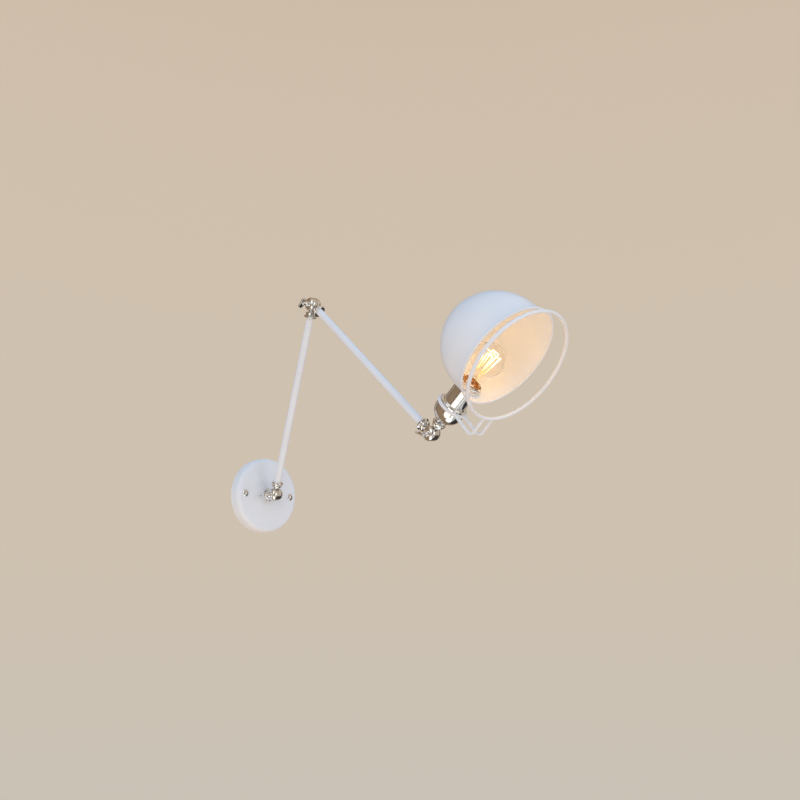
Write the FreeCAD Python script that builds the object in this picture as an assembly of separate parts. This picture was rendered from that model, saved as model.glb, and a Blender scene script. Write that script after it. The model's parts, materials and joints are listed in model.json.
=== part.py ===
import FreeCAD, Part
import math
import os

# Two-arm swing wall lamp with clamped ball knuckles, a domed shade and a wire guard.
# Millimetres and degrees. The origin is the centre of the wall plate's back, on the wall.
# +X is to the right as seen from the room, +Y goes into the wall and +Z is up.
# The pieces are made in their own frames, with their axis along local Z, and are then
# carried to the pose of the photograph by the chain of frames in lamp_frames().

# Pose of the photograph: turns at the four adjustable joints
SWIVEL_TURN = -8.0
LOWER_ARM_TILT = 24.0
ELBOW_TURN = 113.0
HEAD_TURN = -84.5
SHADE_TWIST = -1.0
GUARD_TWIST = -4.0
WALL_WING_TURN = 0.0
ELBOW_WING_TURN = 42.0
HEAD_WING_TURN = -21.0

# Wall plate
PLATE_DIAMETER = 120.0
PLATE_DEPTH = 18.0
PLATE_WALL = 1.2
PLATE_EDGE_ROUND = 6.5
PLATE_SCREW_SPACING = 90.0
PLATE_SCREW_DIAMETER = 4.0
SCREW_HEAD_DIAMETER = 10.8
SCREW_HEAD_HEIGHT = 3.2
SCREW_HEAD_EDGE = 0.7
RECESS_LENGTH = 5.0
RECESS_WIDTH = 1.1
RECESS_DEPTH = 1.3

# Mounting strap and wiring behind the plate
STRAP_LENGTH = 104.0
STRAP_WIDTH = 16.0
STRAP_THICKNESS = 2.0
STRAP_CORNER_ROUND = 5.0
WALL_HOLE_SPACING = 64.0
WALL_HOLE_DIAMETER = 5.0
EARTH_SCREW_OFFSET = 17.5
EARTH_SCREW_DIAMETER = 3.0
EARTH_HEAD_DIAMETER = 6.0
EARTH_HEAD_HEIGHT = 2.2
TERMINAL_OFFSET = 17.5
TERMINAL_LENGTH = 15.0
TERMINAL_WIDTH = 15.0
TERMINAL_HEIGHT = 10.0
TERMINAL_POLE_SPACING = 7.5
TERMINAL_BARREL_DIAMETER = 6.0
TERMINAL_SCREW_HOLE_DIAMETER = 3.2

# Swivel through the plate
BASE_NECK_LENGTH = 17.0
BASE_FLANGE_DIAMETER = 20.2
BASE_STUB_DIAMETER = 10.0
SWIVEL_WASHER_THICKNESS = 1.0
SWIVEL_WASHER_DIAMETER = 19.0
LOCK_NUT_FLATS = 14.0
LOCK_NUT_HEIGHT = 4.0
BASE_STUB_PROUD = 3.0

# Ball knuckles, split across the hinge axis
KNUCKLE_DIAMETER = 20.4
KNUCKLE_CLAMP_SIDE_WIDTH = 10.0
KNUCKLE_FAR_SIDE_WIDTH = 12.0
KNUCKLE_CLAMP_SIDE_ROUND = 5.5
KNUCKLE_FAR_SIDE_ROUND = 8.0
KNUCKLE_SPLIT = 0.8
NECK_DIAMETER = 7.8
NECK_LENGTH = 2.0
NECK_CLEARANCE = 0.6
CHAMBER_INNER_DIAMETER = 7.2
CHAMBER_OUTER_DIAMETER = 13.2
CHAMBER_DEPTH = 4.5
LEAD_BORE_DIAMETER = 4.8
FRICTION_WASHER_WIDTH = 2.3
STUB_ENGAGEMENT = 12.0

# Wing screws that clamp the knuckles
WING_SCREW_DIAMETER = 5.0
WING_SCREW_BITE = 8.0
WING_BOSS_DIAMETER = 9.0
WING_BOSS_HEIGHT = 8.5
WING_NECK_DIAMETER = 5.6
WING_SPAN = 17.5
WING_HEIGHT = 8.5
WING_THICKNESS = 2.6
WING_EDGE_ROUND = 0.7

# Flared ferrules between knuckles and tubes
FERRULE_LENGTH = 9.0
FERRULE_FOOT_DIAMETER = 11.0
FERRULE_BEAD_DIAMETER = 16.4
FERRULE_GROOVE_DIAMETER = 14.4
FERRULE_FLANGE_DIAMETER = 19.6
FERRULE_TUBE_SEAT = 2.0

# Arms
ARM_PITCH = 312.0
TUBE_DIAMETER = 11.0
TUBE_WALL = 1.0

# Lampholder, round the bulb's screw cap
CUP_FOOT_DIAMETER = 15.0
CUP_NECK_DIAMETER = 21.0
CUP_NECK_HEIGHT = 5.5
CUP_HEIGHT = 27.3
CUP_STRAIGHT = 4.5
CUP_WALL = 1.2
CUP_RIM_WIDTH = 2.8
CUP_NUT_FLATS = 13.0
CUP_NUT_HEIGHT = 4.0
CUP_STUB_PROUD = 1.5
SPIGOT_STEP = 1.95
SPIGOT_LENGTH = 7.0
SHELL_FLANGE_WIDTH = 2.6
SHELL_FLANGE_FILLET = 1.2
SHELL_FLANGE_THICKNESS = 1.5
SHELL_NOTCH_COUNT = 6
SHELL_NOTCH_WIDTH = 3.0
SHELL_NOTCH_DEPTH = 1.4
SHELL_WALL = 0.8
SHELL_AIR_GAP = 0.75
SHELL_SHOULDER = 30.2
SEAT_COLLAR_WIDTH = 1.75
SEAT_COLLAR_HEIGHT = 3.5
RING_NUT_WIDTH = 2.25
RING_NUT_HEIGHT = 6.0
RING_NUT_CHAMFER = 1.2
SHELL_LIP = 2.0
INSERT_FLANGE_HEIGHT = 5.0
INSERT_STEP_HEIGHT = 3.5
INSERT_BOSS_HEIGHT = 11.7
SLEEVE_WALL = 0.6
SLEEVE_CLEARANCE = 0.45
CONTACT_DIAMETER = 9.0
CONTACT_HEIGHT = 1.5

# Shade
DOME_RADIUS = 70.0
DOME_DEPTH = 75.0
SKIRT_LENGTH = 20.0
RIM_RADIUS = 72.5
SHADE_WALL = 1.1
RIM_BEAD_DIAMETER = 3.2
LAND_SINK = 2.5
LAND_MARGIN = 1.0
MOUTH_ANGLE = 84.0

# Wire guard
GUARD_RING_RADIUS = 77.5
GUARD_WIRE_DIAMETER = 4.8
GUARD_LEG_DIAMETER = 4.6
GUARD_LEG_SPACING = 17.0
GUARD_LEG_REACH = 56.2
GUARD_LEG_BEND = 7.0
GUARD_ANGLE = 80.5
GUARD_REACH = 42.0
GUARD_DROP = 2.0

# Bulb
CAP_DIAMETER = 26.3
CAP_LENGTH = 24.0
CAP_WALL = 0.5
CAP_TIP_DIAMETER = 8.0
CAP_TIP_HEIGHT = 1.2
INSULATOR_DIAMETER = 18.0
INSULATOR_HEIGHT = 3.2
GLASS_SEAT_GAP = 0.35
GLASS_WALL = 0.8
GLASS_IN_CAP = 5.0
GLOBE_DIAMETER = 45.0
GLOBE_HEIGHT = 66.0
GLOBE_FILLET = 20.0
STEM_FLARE_DIAMETER = 16.0
STEM_PRESS_DIAMETER = 5.0
STEM_FLARE_HEIGHT = 12.0
STEM_ROD_DIAMETER = 2.6
STEM_BUTTON_DIAMETER = 5.0
CAGE_BOTTOM_HEIGHT = 49.0
CAGE_HEIGHT = 27.0
CAGE_BOTTOM_RADIUS = 8.0
CAGE_TOP_RADIUS = 12.0
CAGE_STRANDS = 8
FILAMENT_DIAMETER = 0.8
FILAMENT_BEND = 0.9
SUPPORT_DIAMETER = 0.7

# Leads and clearances
LEAD_DIAMETER = 2.0
LEAD_SPACING = 2.4
LEAD_BEND = 3.0
THREAD_CLEARANCE = 0.05
RUNNING_CLEARANCE = 0.08
FACE_CLEARANCE = 0.05
HOLE_CLEARANCE = 0.15
SEAT_GAP = 0.3

# Heights along an arm, from the hinge axis
KNUCKLE_RADIUS = KNUCKLE_DIAMETER / 2
FERRULE_START = KNUCKLE_RADIUS + NECK_LENGTH
FERRULE_END = FERRULE_START + FERRULE_LENGTH
TUBE_START = FERRULE_END - FERRULE_TUBE_SEAT
STUB_RADIUS = TUBE_DIAMETER / 2 - TUBE_WALL - THREAD_CLEARANCE
PIVOT_STANDOFF = PLATE_DEPTH + BASE_NECK_LENGTH

# Diameters round the bulb's cap, from the inside out
GLASS_NECK_DIAMETER = CAP_DIAMETER - 2 * (CAP_WALL + GLASS_SEAT_GAP)
SLEEVE_DIAMETER = CAP_DIAMETER + 2 * (SLEEVE_CLEARANCE + SLEEVE_WALL)
SHELL_INNER_RADIUS = SLEEVE_DIAMETER / 2 + SHELL_AIR_GAP
SHELL_DIAMETER = 2 * (SHELL_INNER_RADIUS + SHELL_WALL)
SEAT_COLLAR_DIAMETER = SHELL_DIAMETER + 2 * SEAT_COLLAR_WIDTH
RING_NUT_DIAMETER = SHELL_DIAMETER + 2 * RING_NUT_WIDTH
LAND_DIAMETER = max(SEAT_COLLAR_DIAMETER, RING_NUT_DIAMETER) + LAND_MARGIN
SPIGOT_DIAMETER = SHELL_DIAMETER + 2 * SPIGOT_STEP
SHELL_FLANGE_DIAMETER = SPIGOT_DIAMETER + 2 * SHELL_FLANGE_WIDTH
CUP_DIAMETER = SPIGOT_DIAMETER + 2 * CUP_RIM_WIDTH

# Heights along the lampholder, from the head's hinge axis
CUP_TOP = FERRULE_END + CUP_HEIGHT
LOOP_HEIGHT = CUP_TOP + FACE_CLEARANCE + GUARD_WIRE_DIAMETER / 2
FLANGE_BOTTOM = LOOP_HEIGHT + GUARD_WIRE_DIAMETER / 2 + FACE_CLEARANCE
FLANGE_TOP = FLANGE_BOTTOM + SHELL_FLANGE_THICKNESS
LAND_HEIGHT = FLANGE_TOP + SHELL_SHOULDER
RING_NUT_BOTTOM = LAND_HEIGHT + SHADE_WALL
SHELL_TOP = RING_NUT_BOTTOM + RING_NUT_HEIGHT + SHELL_LIP
SHADE_CENTRE = LAND_HEIGHT + DOME_RADIUS - LAND_SINK
INSERT_BOTTOM = FLANGE_BOTTOM - INSERT_FLANGE_HEIGHT
SLEEVE_BOTTOM = FLANGE_BOTTOM + INSERT_STEP_HEIGHT
INSERT_TOP = FLANGE_BOTTOM + INSERT_BOSS_HEIGHT
BULB_TIP = INSERT_TOP + CONTACT_HEIGHT + FACE_CLEARANCE
CAP_BOTTOM = BULB_TIP + CAP_TIP_HEIGHT + INSULATOR_HEIGHT
CAP_TOP = CAP_BOTTOM + CAP_LENGTH
GLASS_BOTTOM = CAP_TOP - GLASS_IN_CAP
GLOBE_CENTRE = BULB_TIP + GLOBE_HEIGHT
LOOP_RADIUS = SPIGOT_DIAMETER / 2 + HOLE_CLEARANCE + GUARD_WIRE_DIAMETER / 2


def vector(x, y, z):
    return FreeCAD.Vector(x, y, z)


def moved(x, y, z):
    return FreeCAD.Placement(vector(x, y, z), FreeCAD.Rotation())


def turned(axis, angle):
    return FreeCAD.Placement(vector(0, 0, 0), FreeCAD.Rotation(vector(*axis), angle))


X_AXIS = (1, 0, 0)
Y_AXIS = (0, 1, 0)
Z_AXIS = (0, 0, 1)


def placed(shape, frame):
    """A copy of the shape carried from its own frame to the given one."""
    return shape.transformed(frame.toMatrix(), True)


def lathe(start, *steps):
    """Piece turned about Z from an outline of (radius, height) points.

    A step of two numbers is a straight run to that point, and a step of four is an arc
    through the first point to the second. The outline closes by itself.
    """
    edges = []
    here = vector(start[0], 0, start[1])
    first = here
    for step in steps:
        end = vector(step[-2], 0, step[-1])
        if len(step) == 2:
            edges.append(Part.LineSegment(here, end).toShape())
        else:
            edges.append(Part.Arc(here, vector(step[0], 0, step[1]), end).toShape())
        here = end
    edges.append(Part.LineSegment(here, first).toShape())
    face = Part.Face(Part.Wire(edges))
    return face.revolve(vector(0, 0, 0), vector(*Z_AXIS), 360)


def rod(radius, low, high, x=0.0, y=0.0):
    """Round rod along Z between two heights."""
    return Part.makeCylinder(radius, high - low, vector(x, y, low))


def ring(inner, outer, low, high):
    """Flat ring about Z between two heights."""
    return lathe((inner, low), (outer, low), (outer, high), (inner, high))


def block(length, width, low, high, x=0.0, y=0.0):
    """Block centred on x and y, between two heights."""
    corner = vector(x - length / 2, y - width / 2, low)
    return Part.makeBox(length, width, high - low, corner)


def hexagon(flats, low, high):
    """Hexagonal bar along Z, by its size across flats."""
    radius = flats / math.sqrt(3)
    corners = []
    for step in range(7):
        angle = math.radians(60 * step)
        corners.append(vector(radius * math.cos(angle), radius * math.sin(angle), low))
    return Part.Face(Part.makePolygon(corners)).extrude(vector(0, 0, high - low))


def cap_step(radius, low, high):
    """Outline step of a round cap from (radius, low) to its tip on the axis."""
    rise = high - low
    ball = (radius ** 2 + rise ** 2) / (2 * abs(rise))
    half = math.asin(min(1.0, radius / ball)) / 2
    fall = math.copysign(ball - ball * math.cos(half), rise)
    return (ball * math.sin(half), high - fall, 0, high)


def rounded_path(points, bend):
    """Wire of straight runs joined by tangent arcs of one radius."""
    edges = []
    here = points[0]
    for before, corner, after in zip(points, points[1:], points[2:]):
        inward = (corner - before).normalize()
        outward = (after - corner).normalize()
        turn = inward.getAngle(outward)
        setback = bend * math.tan(turn / 2)
        arc_start = corner - inward * setback
        arc_end = corner + outward * setback
        toward_centre = (outward - inward).normalize()
        arc_middle = corner + toward_centre * (bend / math.cos(turn / 2) - bend)
        edges.append(Part.LineSegment(here, arc_start).toShape())
        edges.append(Part.Arc(arc_start, arc_middle, arc_end).toShape())
        here = arc_end
    edges.append(Part.LineSegment(here, points[-1]).toShape())
    return Part.Wire(edges)


def bent_rod(points, radius, bend):
    """Round rod along straight runs joined by tangent arcs."""
    path = rounded_path(points, bend)
    direction = points[1] - points[0]
    section = Part.Wire(Part.Circle(points[0], direction, radius).toShape())
    return path.makePipeShell([section], True, False)


# Wall plate and what is behind it, in the plate's frame with Z out of the wall

def wall_plate():
    outer = PLATE_DIAMETER / 2
    inner = outer - PLATE_WALL
    edge = PLATE_EDGE_ROUND
    inner_edge = edge - PLATE_WALL
    shoulder = PLATE_DEPTH - edge
    floor = PLATE_DEPTH - PLATE_WALL
    hole = BASE_STUB_DIAMETER / 2 + RUNNING_CLEARANCE
    middle = math.sqrt(0.5)
    dish = lathe(
        (inner, 0),
        (outer, 0),
        (outer, shoulder),
        (outer - edge + edge * middle, shoulder + edge * middle, outer - edge, PLATE_DEPTH),
        (hole, PLATE_DEPTH),
        (hole, floor),
        (outer - edge, floor),
        (outer - edge + inner_edge * middle, shoulder + inner_edge * middle, inner, shoulder),
    )
    radius = PLATE_SCREW_DIAMETER / 2 + HOLE_CLEARANCE
    for side in (-1, 1):
        x = side * PLATE_SCREW_SPACING / 2
        dish = dish.cut(rod(radius, 0, PLATE_DEPTH + PLATE_WALL, x))
    return dish


def mounting_strap():
    strap = block(STRAP_LENGTH, STRAP_WIDTH, 0, STRAP_THICKNESS)
    corners = [edge for edge in strap.Edges if abs(edge.tangentAt(edge.FirstParameter).z) > 0.5]
    strap = strap.makeFillet(min(STRAP_CORNER_ROUND, STRAP_WIDTH / 2 - 1), corners)
    tapped = PLATE_SCREW_DIAMETER / 2 + THREAD_CLEARANCE
    earth = EARTH_SCREW_DIAMETER / 2 + THREAD_CLEARANCE
    holes = [(-EARTH_SCREW_OFFSET, earth)]
    for side in (-1, 1):
        holes.append((side * PLATE_SCREW_SPACING / 2, tapped))
        holes.append((side * WALL_HOLE_SPACING / 2, WALL_HOLE_DIAMETER / 2))
    for x, radius in holes:
        strap = strap.cut(rod(radius, -STRAP_THICKNESS, 2 * STRAP_THICKNESS, x))
    return strap


def pan_screw(head, height, edge, shank, shank_end):
    """Screw with a domed head whose underside is at height 0, with a crossed recess."""
    screw = lathe(
        (0, shank_end),
        (shank, shank_end),
        (shank, 0),
        (head, 0),
        (head, edge),
        cap_step(head, edge, height),
    )
    for length, width in ((RECESS_LENGTH, RECESS_WIDTH), (RECESS_WIDTH, RECESS_LENGTH)):
        screw = screw.cut(block(length, width, height - RECESS_DEPTH, height + RECESS_DEPTH))
    return screw


def plate_screws():
    screw = pan_screw(
        SCREW_HEAD_DIAMETER / 2,
        SCREW_HEAD_HEIGHT,
        SCREW_HEAD_EDGE,
        PLATE_SCREW_DIAMETER / 2,
        FACE_CLEARANCE - PLATE_DEPTH,
    )
    pair = []
    for side in (-1, 1):
        pair.append(placed(screw, moved(side * PLATE_SCREW_SPACING / 2, 0, PLATE_DEPTH)))
    return Part.makeCompound(pair)


def earth_screw():
    screw = lathe(
        (0, FACE_CLEARANCE),
        (EARTH_SCREW_DIAMETER / 2, FACE_CLEARANCE),
        (EARTH_SCREW_DIAMETER / 2, STRAP_THICKNESS),
        (EARTH_HEAD_DIAMETER / 2, STRAP_THICKNESS),
        (EARTH_HEAD_DIAMETER / 2, STRAP_THICKNESS + EARTH_HEAD_HEIGHT),
        (0, STRAP_THICKNESS + EARTH_HEAD_HEIGHT),
    )
    return placed(screw, moved(-EARTH_SCREW_OFFSET, 0, 0))


def lead_height():
    """Height of the leads where they come out of the terminal block."""
    stub_end = PLATE_DEPTH - PLATE_WALL - SWIVEL_WASHER_THICKNESS - LOCK_NUT_HEIGHT - BASE_STUB_PROUD
    return (STRAP_THICKNESS + stub_end) / 2


def terminal_block():
    top = STRAP_THICKNESS + TERMINAL_HEIGHT
    barrel = TERMINAL_BARREL_DIAMETER / 2
    body = block(TERMINAL_LENGTH, TERMINAL_WIDTH, STRAP_THICKNESS, top - barrel)
    poles = []
    for side in (-1, 1):
        y = side * TERMINAL_POLE_SPACING / 2
        pole = Part.makeCylinder(barrel, TERMINAL_LENGTH, vector(-TERMINAL_LENGTH / 2, y, top - barrel),
                                 vector(*X_AXIS))
        poles.append(pole)
    body = body.fuse(poles).removeSplitter()
    clear = LEAD_DIAMETER / 2 + THREAD_CLEARANCE
    for side in (-1, 1):
        y = side * TERMINAL_POLE_SPACING / 2
        body = body.cut(rod(TERMINAL_SCREW_HOLE_DIAMETER / 2, lead_height(), top, 0, y))
        body = body.cut(Part.makeCylinder(clear, TERMINAL_LENGTH, vector(-TERMINAL_LENGTH / 2, y, lead_height()),
                                          vector(*X_AXIS)))
    return placed(body, moved(TERMINAL_OFFSET, 0, 0))


def supply_leads():
    """Two leads from the terminal block into the hollow swivel stub."""
    leads = []
    for side in (-1, 1):
        far = side * TERMINAL_POLE_SPACING / 2
        near = side * LEAD_SPACING / 2
        height = lead_height()
        inside = TERMINAL_OFFSET
        mouth = TERMINAL_OFFSET - TERMINAL_LENGTH / 2 - SEAT_GAP
        points = [
            vector(inside, far, height),
            vector(mouth, far, height),
            vector(0, near, height),
            vector(0, near, PLATE_DEPTH),
        ]
        leads.append(bent_rod(points, LEAD_DIAMETER / 2, LEAD_BEND))
    return Part.makeCompound(leads)


def swivel_washer():
    top = PLATE_DEPTH - PLATE_WALL
    hole = BASE_STUB_DIAMETER / 2 + RUNNING_CLEARANCE
    return ring(hole, SWIVEL_WASHER_DIAMETER / 2, top - SWIVEL_WASHER_THICKNESS, top)


# Ball knuckles, with the hinge along X and the neck along Z

def knuckle_half(side, width, edge_round, neck, stub, stub_end):
    """One half of a ball knuckle: side is -1 for the clamp side and 1 for the far side."""
    gap = KNUCKLE_SPLIT / 2
    edge = min(edge_round, KNUCKLE_RADIUS - 1, width - gap - 1)
    middle = edge * math.sqrt(0.5)
    corner = KNUCKLE_RADIUS - edge
    shoulder = width - edge
    drum = lathe(
        (0, gap),
        (KNUCKLE_RADIUS, gap),
        (KNUCKLE_RADIUS, shoulder),
        (corner + middle, shoulder + middle, corner, width),
        (0, width),
    )
    across = turned(Y_AXIS, 90 * side)
    drum = placed(drum, across)
    # The neck is centred on the split, so the other half's swept space is taken out of it
    swept = placed(rod(KNUCKLE_RADIUS + NECK_CLEARANCE, -FERRULE_END, gap), across)
    stem = rod(neck, 0, FERRULE_START).cut(swept)
    half = drum.fuse([stem, rod(stub, FERRULE_START, stub_end)])
    # Chamber for the leads round the clamping screw, open to the bore in the neck
    inner = CHAMBER_INNER_DIAMETER / 2
    outer = CHAMBER_OUTER_DIAMETER / 2
    chamber = placed(ring(inner, outer, 0, CHAMBER_DEPTH), across)
    bore = rod(LEAD_BORE_DIAMETER / 2, (inner + outer) / 2, stub_end)
    half = half.cut(chamber.fuse(bore))
    screw = WING_SCREW_DIAMETER / 2 + RUNNING_CLEARANCE
    depth = width if side < 0 else WING_SCREW_BITE + SEAT_GAP
    return half.cut(placed(rod(screw, 0, depth), across))


def clamp_half(neck, stub, stub_end):
    return knuckle_half(-1, KNUCKLE_CLAMP_SIDE_WIDTH, KNUCKLE_CLAMP_SIDE_ROUND, neck, stub, stub_end)


def far_half(stub_end):
    return knuckle_half(1, KNUCKLE_FAR_SIDE_WIDTH, KNUCKLE_FAR_SIDE_ROUND, NECK_DIAMETER / 2,
                        STUB_RADIUS, stub_end)


def friction_washer():
    outer = KNUCKLE_RADIUS - SEAT_GAP
    gap = KNUCKLE_SPLIT / 2
    washer = ring(outer - FRICTION_WASHER_WIDTH, outer, -gap, gap - FACE_CLEARANCE)
    return placed(washer, turned(Y_AXIS, 90))


def wing_screw():
    """Thumb screw along Z, with the knuckle's split at height 0 and its flat blade along X."""
    seat = KNUCKLE_CLAMP_SIDE_WIDTH + FACE_CLEARANCE
    boss = WING_BOSS_DIAMETER / 2
    neck = WING_NECK_DIAMETER / 2
    boss_top = seat + WING_BOSS_HEIGHT
    rim = seat + WING_BOSS_HEIGHT * 0.3
    waist = (boss + neck) / 2 - (boss - neck) * 0.3
    screw = lathe(
        (0, -WING_SCREW_BITE),
        (WING_SCREW_DIAMETER / 2, -WING_SCREW_BITE),
        (WING_SCREW_DIAMETER / 2, seat),
        (boss, seat),
        (boss, rim),
        (waist, (rim + boss_top) / 2, neck, boss_top),
        cap_step(neck, boss_top, boss_top + WING_HEIGHT / 2),
    )
    half = WING_SPAN / 2
    low = boss_top - WING_HEIGHT * 0.15
    high = low + WING_HEIGHT
    foot = vector(half * 0.5, 0, low)
    tip = vector(half, 0, low + WING_HEIGHT * 0.55)
    crown = vector(half * 0.6, 0, high)
    dip = vector(0, 0, high - WING_HEIGHT * 0.12)
    other_crown = vector(-crown.x, 0, crown.z)
    other_tip = vector(-tip.x, 0, tip.z)
    other_foot = vector(-foot.x, 0, foot.z)
    outline = Part.Wire([
        Part.LineSegment(other_foot, foot).toShape(),
        Part.Arc(foot, tip, crown).toShape(),
        Part.Arc(crown, dip, other_crown).toShape(),
        Part.Arc(other_crown, other_tip, other_foot).toShape(),
    ])
    blade = Part.Face(outline).extrude(vector(0, WING_THICKNESS, 0))
    blade.translate(vector(0, -WING_THICKNESS / 2, 0))
    rims = [edge for edge in blade.Edges if edge.Curve.TypeId == "Part::GeomCircle"]
    blade = blade.makeFillet(min(WING_EDGE_ROUND, WING_THICKNESS * 0.4), rims)
    return screw.fuse(blade)


def ferrule(length, bore, flange, seat_radius, seat_depth):
    """Flared ferrule along Z: a rounded bead at the knuckle, a groove and a wide flange."""
    foot = FERRULE_FOOT_DIAMETER / 2
    bead = FERRULE_BEAD_DIAMETER / 2
    groove = FERRULE_GROOVE_DIAMETER / 2
    bead_top = length * 0.5
    flange_bottom = length * 0.58
    edge = min(length * 0.18, (flange - seat_radius) / 2)
    middle = edge * (1 - math.sqrt(0.5))
    steps = [
        (foot, 0),
        (bead - (bead - foot) * 0.25, bead_top * 0.3, bead, bead_top * 0.72),
        (groove, bead_top),
        (groove, flange_bottom),
        (flange, length * 0.74),
        (flange, length - edge),
        (flange - middle, length - middle, flange - edge, length),
    ]
    if seat_depth > 0:
        steps.append((seat_radius, length))
        steps.append((seat_radius, length - seat_depth))
    steps.append((bore, length - seat_depth))
    return lathe((bore, 0), *steps)


def arm_ferrule():
    seat = TUBE_DIAMETER / 2 + THREAD_CLEARANCE
    piece = ferrule(FERRULE_LENGTH, STUB_RADIUS + THREAD_CLEARANCE, FERRULE_FLANGE_DIAMETER / 2,
                    seat, FERRULE_TUBE_SEAT)
    return placed(piece, moved(0, 0, FERRULE_START))


def head_ferrule():
    piece = ferrule(FERRULE_LENGTH, STUB_RADIUS + THREAD_CLEARANCE, FERRULE_FLANGE_DIAMETER / 2,
                    CUP_FOOT_DIAMETER / 2, 0)
    return placed(piece, moved(0, 0, FERRULE_START))


def base_ferrule():
    length = BASE_NECK_LENGTH - FERRULE_START - FACE_CLEARANCE
    piece = ferrule(length, BASE_STUB_DIAMETER / 2 - TUBE_WALL + THREAD_CLEARANCE,
                    BASE_FLANGE_DIAMETER / 2, BASE_STUB_DIAMETER / 2, 0)
    return placed(piece, moved(0, 0, FERRULE_START))


def base_knuckle():
    """Clamp-side half on the hollow stub that turns in the wall plate."""
    stub = BASE_STUB_DIAMETER / 2
    stub_end = (BASE_NECK_LENGTH + PLATE_WALL + SWIVEL_WASHER_THICKNESS + LOCK_NUT_HEIGHT + BASE_STUB_PROUD)
    half = clamp_half(NECK_DIAMETER / 2, stub - TUBE_WALL, stub_end)
    thread = ring(LEAD_BORE_DIAMETER / 2, stub, BASE_NECK_LENGTH - FACE_CLEARANCE, stub_end)
    return half.fuse(thread).removeSplitter()


def lock_nut():
    low = BASE_NECK_LENGTH + PLATE_WALL + SWIVEL_WASHER_THICKNESS + FACE_CLEARANCE
    nut = hexagon(LOCK_NUT_FLATS, low, low + LOCK_NUT_HEIGHT)
    return nut.cut(rod(BASE_STUB_DIAMETER / 2 + THREAD_CLEARANCE, low, low + LOCK_NUT_HEIGHT))


def arm_tube():
    outer = TUBE_DIAMETER / 2
    return ring(outer - TUBE_WALL, outer, TUBE_START, ARM_PITCH - TUBE_START)


def straight_leads(low, high):
    leads = []
    for side in (-1, 1):
        leads.append(rod(LEAD_DIAMETER / 2, low, high, 0, side * LEAD_SPACING / 2))
    return Part.makeCompound(leads)


# Lampholder, along Z from the head's hinge

def cup_floor():
    """Height of the floor inside the cup, above its solid neck."""
    return FERRULE_END + CUP_NECK_HEIGHT + CUP_WALL


def holder_cup():
    outer = CUP_DIAMETER / 2
    foot = CUP_FOOT_DIAMETER / 2
    neck = CUP_NECK_DIAMETER / 2
    low = FERRULE_END
    neck_top = low + CUP_NECK_HEIGHT
    shoulder = CUP_TOP - CUP_STRAIGHT
    rise = shoulder - neck_top
    # The bowl is an arc that meets the straight rim without a corner
    bowl = ((outer - neck) ** 2 + rise ** 2) / (2 * (outer - neck))
    centre = outer - bowl
    sweep = math.asin(rise / bowl)
    inner_bowl = bowl - CUP_WALL
    inner_sweep = math.asin((shoulder - cup_floor()) / inner_bowl)
    inner_foot = centre + inner_bowl * math.cos(inner_sweep)
    lip = SPIGOT_DIAMETER / 2 + THREAD_CLEARANCE
    hole = STUB_RADIUS + THREAD_CLEARANCE
    waist = (foot + neck) / 2 - (neck - foot) * 0.15
    return lathe(
        (hole, low),
        (foot, low),
        (waist, low + CUP_NECK_HEIGHT * 0.5, neck, neck_top),
        (centre + bowl * math.cos(sweep / 2), shoulder - bowl * math.sin(sweep / 2), outer, shoulder),
        (outer, CUP_TOP),
        (lip, CUP_TOP),
        (lip, shoulder),
        (outer - CUP_WALL, shoulder),
        (centre + inner_bowl * math.cos(inner_sweep / 2), shoulder - inner_bowl * math.sin(inner_sweep / 2),
         inner_foot, cup_floor()),
        (hole, cup_floor()),
    )


def cup_nut():
    low = cup_floor()
    nut = hexagon(CUP_NUT_FLATS, low, low + CUP_NUT_HEIGHT)
    return nut.cut(rod(STUB_RADIUS + THREAD_CLEARANCE, low, low + CUP_NUT_HEIGHT))


def holder_shell():
    """Polished sleeve with a threaded spigot, a notched flange and a thin body."""
    spigot = SPIGOT_DIAMETER / 2
    flange = SHELL_FLANGE_DIAMETER / 2
    body = SHELL_DIAMETER / 2
    inner = SHELL_INNER_RADIUS
    spigot_inner = spigot - CUP_WALL
    fillet = min(SHELL_FLANGE_FILLET, (flange - body) / 2)
    middle = fillet * (1 - math.sqrt(0.5))
    shell = lathe(
        (spigot_inner, FLANGE_BOTTOM - SPIGOT_LENGTH),
        (spigot, FLANGE_BOTTOM - SPIGOT_LENGTH),
        (spigot, FLANGE_BOTTOM),
        (flange, FLANGE_BOTTOM),
        (flange, FLANGE_TOP),
        (body + fillet, FLANGE_TOP),
        (body + middle, FLANGE_TOP + middle, body, FLANGE_TOP + fillet),
        (body, SHELL_TOP),
        (inner, SHELL_TOP),
        (inner, FLANGE_BOTTOM),
        (spigot_inner, FLANGE_BOTTOM),
    )
    for step in range(SHELL_NOTCH_COUNT):
        notch = block(2 * SHELL_NOTCH_DEPTH, SHELL_NOTCH_WIDTH, FLANGE_BOTTOM, FLANGE_TOP, flange)
        shell = shell.cut(placed(notch, turned(Z_AXIS, 360 * step / SHELL_NOTCH_COUNT)))
    return shell


def seat_collar():
    inner = SHELL_DIAMETER / 2 + THREAD_CLEARANCE
    outer = SEAT_COLLAR_DIAMETER / 2
    low = LAND_HEIGHT - SEAT_COLLAR_HEIGHT
    chamfer = min(RING_NUT_CHAMFER, SEAT_COLLAR_HEIGHT / 3)
    return lathe(
        (inner, low),
        (outer - chamfer, low),
        (outer, low + chamfer),
        (outer, LAND_HEIGHT),
        (inner, LAND_HEIGHT),
    )


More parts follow.
